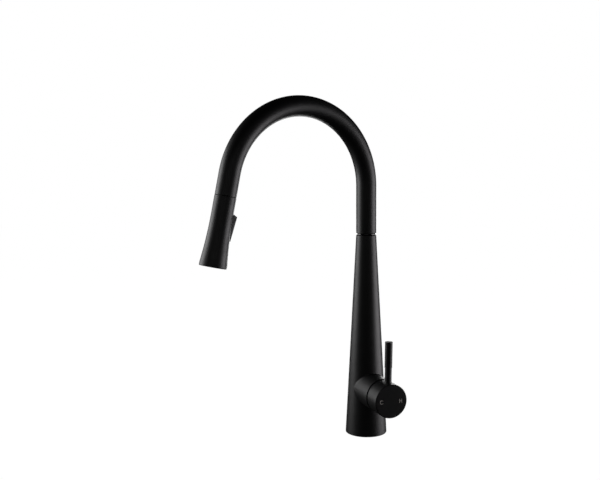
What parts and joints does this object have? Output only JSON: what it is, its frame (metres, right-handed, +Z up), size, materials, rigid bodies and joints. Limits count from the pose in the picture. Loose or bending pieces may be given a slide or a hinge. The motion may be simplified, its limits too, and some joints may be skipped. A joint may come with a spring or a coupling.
{
  "type": "pull down kitchen faucet",
  "caption": "Single-lever kitchen faucet with a conical column, a high round gooseneck and a pull-down spray head with a rocker toggle, in satin black.",
  "frame": {"origin": "centre of the base's underside, on the deck", "axes": "+Z up along the column's axis, +X out of the column along the handle's axis; the spout points along -Y, turned 13 degrees towards +X at rest"},
  "size_m": [0.1003, 0.251, 0.4223],
  "materials": {
    "black_finish": "satin powder coat",
    "black_plastic": "matte",
    "gloss_ring": "gloss",
    "brass": "machined",
    "steel": "drawn",
    "rubber": "matte",
    "ceramic_disc": "lapped",
    "grey_plastic": "moulded",
    "ferrite": "matte",
    "hose_braid": "braided nylon",
    "face_print": "printed"
  },
  "bodies": {
    "column": {"column_shell": "black_finish", "base_gasket": "rubber", "base_core": "brass", "cold_supply_tube": "steel", "hot_supply_tube": "steel", "mixed_water_tube": "steel", "tube_seals": "rubber", "valve_body": "brass", "cartridge_housing": "grey_plastic", "cartridge_seals": "rubber", "fixed_ceramic_disc": "ceramic_disc", "cartridge_nut": "brass", "dome_ring": "black_finish", "upper_swivel_bushing": "grey_plastic", "lower_swivel_bushing": "grey_plastic", "swivel_glide_ring": "gloss_ring"},
    "turret": {"cartridge_turret": "grey_plastic", "stem_pin": "steel"},
    "moving_disc": {"moving_ceramic_disc": "ceramic_disc", "disc_carrier": "grey_plastic"},
    "handle": {"cartridge_stem": "steel", "handle_adapter": "grey_plastic", "handle_knob": "black_finish", "handle_grub_screw": "steel", "screw_plug": "black_plastic", "lever_stem": "black_finish", "lever_grip": "black_finish", "hot_mark": "face_print", "cold_mark": "face_print"},
    "spout": {"spout_tube": "black_finish", "spout_insert": "brass", "friction_rings": "rubber", "spout_circlip": "steel", "dock_sleeve": "black_plastic", "dock_magnet": "ferrite", "pull_hose": "hose_braid", "hose_inlet_fitting": "brass"},
    "hose_end": {"hose_ferrule": "steel", "hose_nipple": "brass", "nipple_seal": "rubber"},
    "spray_head": {"spray_head_shell": "black_finish", "docking_neck": "black_plastic", "head_magnet": "ferrite", "hose_nut": "brass", "waterway_core": "grey_plastic", "check_valve": "grey_plastic", "toggle_pin": "steel", "flow_divider": "grey_plastic", "face_seal": "rubber", "nozzle_plate": "black_plastic", "spray_nozzles": "rubber", "aerator_insert": "grey_plastic"},
    "toggle": {"spray_toggle": "black_plastic"},
    "diverter": {"diverter_spool": "grey_plastic"}
  },
  "joints": [
    {"name": "spout_swivel", "type": "hinge", "parent": "column", "child": "spout", "pos_m": [0, 0, 0.2518], "axis": [0, 0, 1], "continuous": true},
    {"name": "head_pull", "type": "slide", "parent": "spout", "child": "hose_end", "axis": [0.0491, -0.2126, -0.9759], "range_m": [0, 0.2], "deforming": ["pull_hose"]},
    {"name": "head_twist", "type": "hinge", "parent": "hose_end", "child": "spray_head", "pos_m": [0.04442, -0.19238, 0.3081], "axis": [0.0491, -0.2126, -0.9759], "continuous": true},
    {"name": "spray_toggle_rock", "type": "hinge", "parent": "spray_head", "child": "toggle", "pos_m": [0.04456, -0.19302, 0.27033], "axis": [0.9744, 0.225, 0], "range_deg": [0, 8]},
    {"name": "diverter_slide", "type": "slide", "parent": "spray_head", "child": "diverter", "axis": [0.0491, -0.2126, -0.9759], "range_m": [0, 0.0008]},
    {"name": "handle_temperature", "type": "hinge", "parent": "column", "child": "turret", "pos_m": [0, 0, 0.0586], "axis": [1, 0, 0], "range_deg": [-48, 52]},
    {"name": "handle_flow", "type": "hinge", "parent": "turret", "child": "handle", "pos_m": [0.028, 0, 0.0586], "axis": [0, 0.9998, -0.0192], "range_deg": [0, 20]},
    {"name": "disc_slide", "type": "slide", "parent": "turret", "child": "moving_disc", "axis": [0, 0.0192, 0.9998], "range_m": [0, 0.0028]}
  ],
  "couplings": [
    {"joint": "diverter_slide", "follows": "spray_toggle_rock", "m_per_rad": 0.0054},
    {"joint": "disc_slide", "follows": "handle_flow", "m_per_rad": 0.0078}
  ]
}
